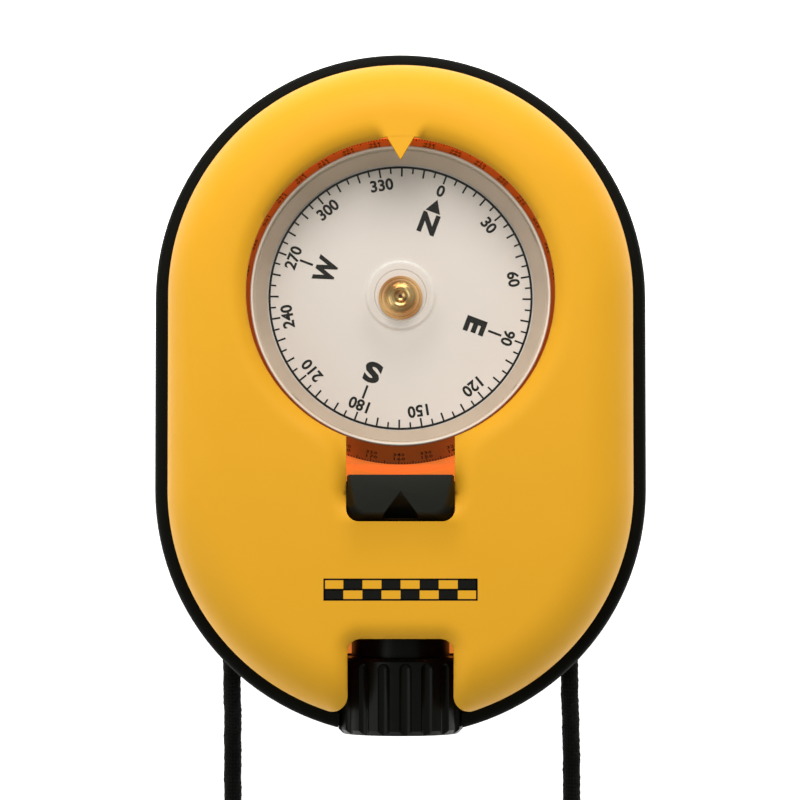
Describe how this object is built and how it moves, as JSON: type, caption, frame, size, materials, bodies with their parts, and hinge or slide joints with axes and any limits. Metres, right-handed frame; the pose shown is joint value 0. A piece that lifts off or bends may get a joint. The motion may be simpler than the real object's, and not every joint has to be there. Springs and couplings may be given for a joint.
{
  "type": "sighting compass",
  "caption": "Flat round-ended sighting compass with a liquid-filled dial capsule, open sight, focusing eyepiece, rubber bumper and neck cord.",
  "frame": {"origin": "middle of the flat back, on the surface the compass lies on", "axes": "+Z out of the dial, +Y along the line of sight from the eyepiece towards the index mark, +X to the right seen from above with the dial at the top"},
  "size_m": [0.074, 0.1605, 0.029],
  "materials": {
    "yellow_shell": "semi-gloss moulded",
    "black_rubber": "matt",
    "black_shell": "fine textured",
    "orange_glow": "translucent, polished",
    "zinc_steel": "zinc plated",
    "clear_acrylic": "clear, polished",
    "grey_bezel": "matt",
    "soft_black": "matt",
    "brass": "turned",
    "polished_steel": "ground",
    "card_white": "printed, satin",
    "scale_red": "printed, translucent",
    "ruby": "polished",
    "magnet_grey": "sintered",
    "optic_black": "satin",
    "lens_glass": "polished",
    "anodised_black": "anodised",
    "black_braid": "braided",
    "ferrule_grey": "plain",
    "black_band": "matt"
  },
  "bodies": {
    "case": {"top_cover": "yellow_shell", "rim_bumper": "black_rubber", "rear_shell": "black_shell", "light_window": "orange_glow", "light_frame": "orange_glow", "case_screws": "zinc_steel", "capsule_cup": "clear_acrylic", "capsule_shoulder": "clear_acrylic", "capsule_bezel": "grey_bezel", "capsule_lid": "clear_acrylic", "expansion_diaphragm": "soft_black", "fill_plug": "brass", "pivot_base": "brass", "pivot_needle": "polished_steel", "sight_block": "optic_black", "hairline_window": "clear_acrylic", "optic_tube": "anodised_black", "focus_oring": "soft_black", "cord_eyelets": "soft_black", "cord_stops": "ferrule_grey", "lanyard_left_run": "black_braid", "lanyard_right_run": "black_braid", "lanyard_coil": "black_braid", "coil_tie": "black_band"},
    "card": {"card_disc": "card_white", "side_scale_ring": "scale_red", "bearing_cap": "brass", "bearing_jewel": "ruby", "dip_brackets": "card_white"},
    "magnet": {"magnet_yoke": "brass", "magnet_bars": "magnet_grey"},
    "eyepiece": {"eyepiece_barrel": "optic_black"},
    "lens_slide": {"lens_cell": "anodised_black", "eyepiece_lens": "lens_glass", "lens_retainer": "anodised_black"}
  },
  "joints": [
    {"name": "card_spin", "type": "hinge", "parent": "case", "child": "card", "pos_m": [0, 0.0144, 0.0183], "axis": [0, 0, 1], "continuous": true},
    {"name": "magnet_dip", "type": "hinge", "parent": "card", "child": "magnet", "pos_m": [0, 0.0144, 0.0126], "axis": [0.9361, -0.3518, 0], "range_deg": [-20, 20]},
    {"name": "focus_turn", "type": "hinge", "parent": "case", "child": "eyepiece", "pos_m": [0, -0.045, 0.013], "axis": [0, 1, 0], "range_deg": [-180, 180]},
    {"name": "focus_slide", "type": "slide", "parent": "case", "child": "lens_slide", "axis": [0, 1, 0], "range_m": [-0.0015, 0.0015]}
  ],
  "couplings": [
    {"joint": "focus_slide", "follows": "focus_turn", "m_per_rad": 0.00047746}
  ]
}
